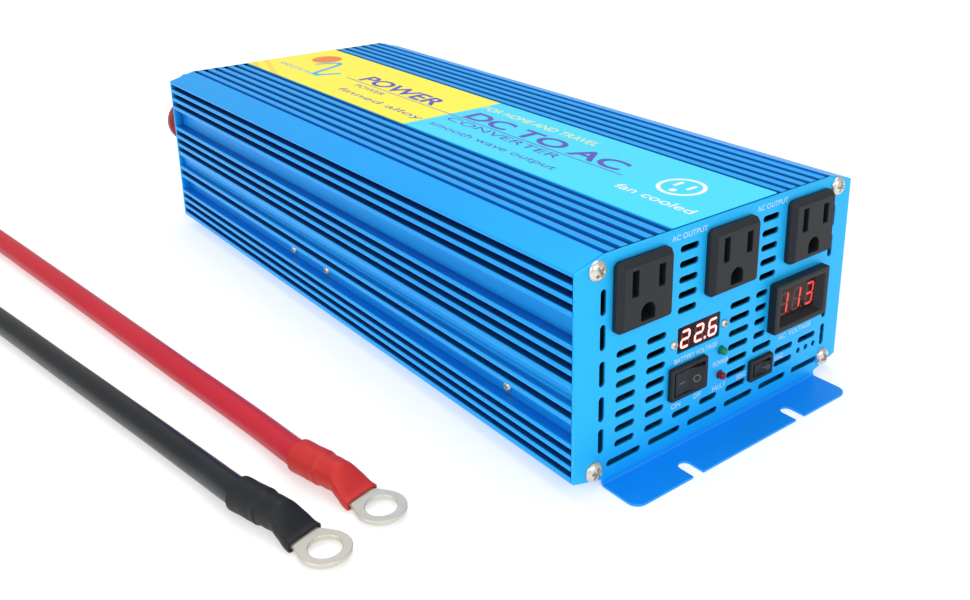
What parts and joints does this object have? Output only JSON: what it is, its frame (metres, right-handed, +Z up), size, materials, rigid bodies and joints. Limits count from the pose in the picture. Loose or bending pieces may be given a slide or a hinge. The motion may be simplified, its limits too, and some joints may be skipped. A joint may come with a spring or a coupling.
{
  "type": "power inverter",
  "caption": "Low, long box inverter in finned blue aluminium with mains outlets, meters and switches on a vented front panel, fans and battery posts behind, and a loose pair of ring-lug cables.",
  "frame": {"origin": "on the floor, at the middle of the inverter's footprint without its loose cables", "axes": "+X to the right when facing the front panel, +Y from the front panel to the rear, +Z up"},
  "size_m": [0.336, 0.6903, 0.0903],
  "materials": {
    "blue_anodised": "blue anodised, satin",
    "blue_paint": "blue powder coat, semi-gloss",
    "black_plastic": "moulded, satin",
    "screw_steel": "zinc plated",
    "tinned_copper": "tinned, satin",
    "brass": "turned",
    "red_plastic": "moulded, satin",
    "red_sleeve": "heat-shrink, satin",
    "black_sleeve": "heat-shrink, satin",
    "red_cable": "PVC sheath, satin",
    "black_cable": "PVC sheath, semi-gloss",
    "smoked_window": "tinted, glossy",
    "green_lens": "clear tinted",
    "red_lens": "clear tinted",
    "label_film": "printed film",
    "circuit_board": "solder mask",
    "aluminium": "mill finish",
    "ferrite": "ferrite with taped winding",
    "winding": "enamelled copper",
    "capacitor_sleeve": "shrink sleeve"
  },
  "bodies": {
    "inverter": {"ac_voltmeter_bezel": "black_plastic", "ac_voltmeter_display": "smoked_window", "bar_screw_front": "screw_steel", "bar_screw_middle": "screw_steel", "bar_screw_rear": "screw_steel", "battery_voltmeter": "smoked_window", "black_battery_cable": "black_cable", "black_lug_front": "tinned_copper", "black_lug_rear": "tinned_copper", "black_sleeve_front": "black_sleeve", "black_sleeve_rear": "black_sleeve", "black_terminal_bush": "black_plastic", "black_terminal_nut": "black_plastic", "black_terminal_stud": "brass", "capacitor": "capacitor_sleeve", "circuit_board": "circuit_board", "control_board": "circuit_board", "earth_nut": "brass", "earth_stud": "brass", "fan_left_frame": "black_plastic", "fan_right_frame": "black_plastic", "fault_led": "red_lens", "frequency_switch_housing": "black_plastic", "front_panel": "blue_paint", "front_screw_bottom_left": "screw_steel", "front_screw_bottom_right": "screw_steel", "front_screw_top_left": "screw_steel", "front_screw_top_right": "screw_steel", "label": "label_film", "lower_housing": "blue_anodised", "main_switch_housing": "black_plastic", "outlet_left": "black_plastic", "outlet_middle": "black_plastic", "outlet_right": "black_plastic", "output_inductor": "winding", "power_led": "green_lens", "rear_panel": "blue_paint", "rear_screw_bottom_left": "screw_steel", "rear_screw_bottom_right": "screw_steel", "rear_screw_top_left": "screw_steel", "rear_screw_top_right": "screw_steel", "red_battery_cable": "red_cable", "red_lug_front": "tinned_copper", "red_lug_rear": "tinned_copper", "red_sleeve_front": "red_sleeve", "red_sleeve_rear": "red_sleeve", "red_terminal_bush": "red_plastic", "red_terminal_nut": "red_plastic", "red_terminal_stud": "brass", "transformer_front": "ferrite", "transformer_rear": "ferrite", "transistor_bar_left": "aluminium", "transistor_bar_right": "aluminium", "upper_housing": "blue_anodised", "voltmeter_screw_left": "screw_steel", "voltmeter_screw_right": "screw_steel"},
    "main_rocker": {"main_switch_rocker": "black_plastic"},
    "frequency_rocker": {"frequency_switch_rocker": "black_plastic"},
    "left_fan": {"fan_left_rotor": "black_plastic"},
    "right_fan": {"fan_right_rotor": "black_plastic"}
  },
  "joints": [
    {"name": "main_switch_tilt", "type": "hinge", "parent": "inverter", "child": "main_rocker", "pos_m": [-0.0192, -0.17665, 0.02885], "axis": [0, 0, 1], "range_deg": [0, 18]},
    {"name": "frequency_switch_tilt", "type": "hinge", "parent": "inverter", "child": "frequency_rocker", "pos_m": [0.0234, -0.17705, 0.0185], "axis": [0, 0, 1], "range_deg": [0, 18]},
    {"name": "left_fan_spin", "type": "hinge", "parent": "inverter", "child": "left_fan", "pos_m": [-0.0225, 0.15285, 0.05], "axis": [0, 1, 0], "continuous": true},
    {"name": "right_fan_spin", "type": "hinge", "parent": "inverter", "child": "right_fan", "pos_m": [0.0225, 0.15285, 0.05], "axis": [0, 1, 0], "continuous": true}
  ]
}
